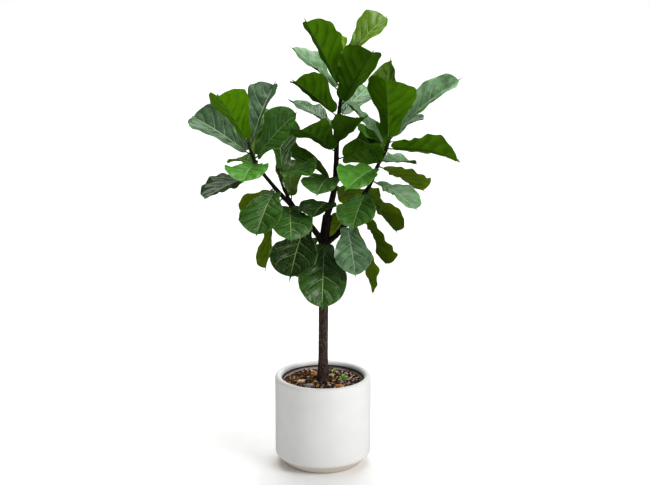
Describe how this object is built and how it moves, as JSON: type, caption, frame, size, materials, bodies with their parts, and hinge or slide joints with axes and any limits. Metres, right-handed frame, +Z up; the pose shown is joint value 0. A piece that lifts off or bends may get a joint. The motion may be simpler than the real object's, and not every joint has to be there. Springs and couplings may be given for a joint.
{
  "type": "potted fiddle leaf fig",
  "caption": "Indoor fiddle leaf fig tree with a bare straight trunk and a crown of big wavy leaves, standing in its nursery pot inside a round white planter.",
  "frame": {"origin": "centre of the planter's flat foot, on the floor", "axes": "+Z up along the planter's axis, -Y towards the tree's front, +X to the right seen from the front"},
  "size_m": [0.9712, 0.5073, 1.6908],
  "materials": {
    "white_ceramic": "matte",
    "grow_pot_plastic": "matte",
    "potting_mix": "matte",
    "bark": "matte",
    "stone_brown": "matte",
    "stone_tan": "matte",
    "stone_grey": "matte",
    "seedling_leaf": "satin",
    "young_leaf": "satin",
    "leaf": "satin"
  },
  "bodies": {
    "root": {"pot": "white_ceramic", "grow_pot": "grow_pot_plastic", "soil": "potting_mix", "stone_brown": "stone_brown", "stone_tan": "stone_tan", "stone_grey": "stone_grey", "seedling_front": "seedling_leaf", "seedling_back": "seedling_leaf", "wood": "bark", "leaf_leader_01": "leaf", "leaf_leader_02": "young_leaf", "leaf_leader_03": "young_leaf", "leaf_leader_04": "leaf", "leaf_leader_05": "leaf", "leaf_leader_06": "leaf", "leaf_leader_07": "leaf", "leaf_leader_08": "leaf", "leaf_leader_09": "leaf", "leaf_leader_10": "leaf", "leaf_leader_11": "leaf", "leaf_leader_12": "leaf", "leaf_leader_13": "leaf", "leaf_leader_14": "leaf", "leaf_leader_15": "leaf", "leaf_trunk_01": "leaf", "leaf_trunk_02": "leaf", "leaf_left_01": "leaf", "leaf_left_02": "leaf", "leaf_left_03": "leaf", "leaf_left_04": "leaf", "leaf_left_05": "leaf", "leaf_left_06": "leaf", "leaf_left_07": "leaf", "leaf_left_08": "leaf", "leaf_left_09": "leaf", "leaf_left_10": "leaf", "leaf_left_11": "leaf", "leaf_left_12": "leaf", "leaf_left_13": "leaf", "leaf_inner_01": "leaf", "leaf_inner_02": "leaf", "leaf_inner_03": "leaf", "leaf_right_01": "leaf", "leaf_right_02": "leaf", "leaf_right_03": "leaf", "leaf_right_04": "leaf", "leaf_right_05": "leaf", "leaf_right_06": "leaf", "leaf_right_07": "leaf", "leaf_right_08": "leaf", "leaf_right_09": "leaf", "leaf_right_10": "leaf", "leaf_right_11": "leaf", "leaf_right_12": "leaf", "leaf_right_13": "leaf", "leaf_right_14": "leaf", "leaf_right_15": "leaf", "leaf_right_16": "leaf", "leaf_right_17": "leaf", "leaf_right_18": "leaf"}
  },
  "joints": []
}
